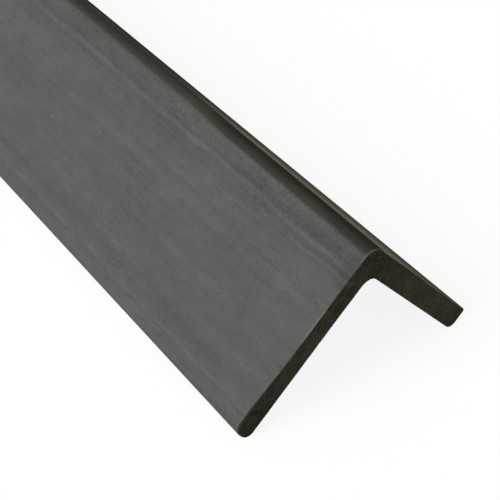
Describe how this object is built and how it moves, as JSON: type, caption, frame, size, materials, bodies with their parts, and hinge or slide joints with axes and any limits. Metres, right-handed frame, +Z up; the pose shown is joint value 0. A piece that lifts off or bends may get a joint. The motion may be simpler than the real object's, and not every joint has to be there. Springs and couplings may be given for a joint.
{
  "type": "angle trim",
  "caption": "Straight wood-plastic composite angle with equal legs, rounded heel, filleted inside corner and eased toes, for covering the outer corner of decking or cladding.",
  "frame": {"origin": "on the floor, under the middle of the trim, at the bottom centre of its box", "axes": "+Y along the trim, +Z up through the heel, +X from the face leg towards the return leg"},
  "size_m": [0.0692, 2.2, 0.0371],
  "materials": {
    "composite": "sanded charcoal wood-plastic composite, matt, with a faint grain along its length and darker brown sawn ends"
  },
  "bodies": {
    "root": {"angle_trim": "composite"}
  },
  "joints": []
}
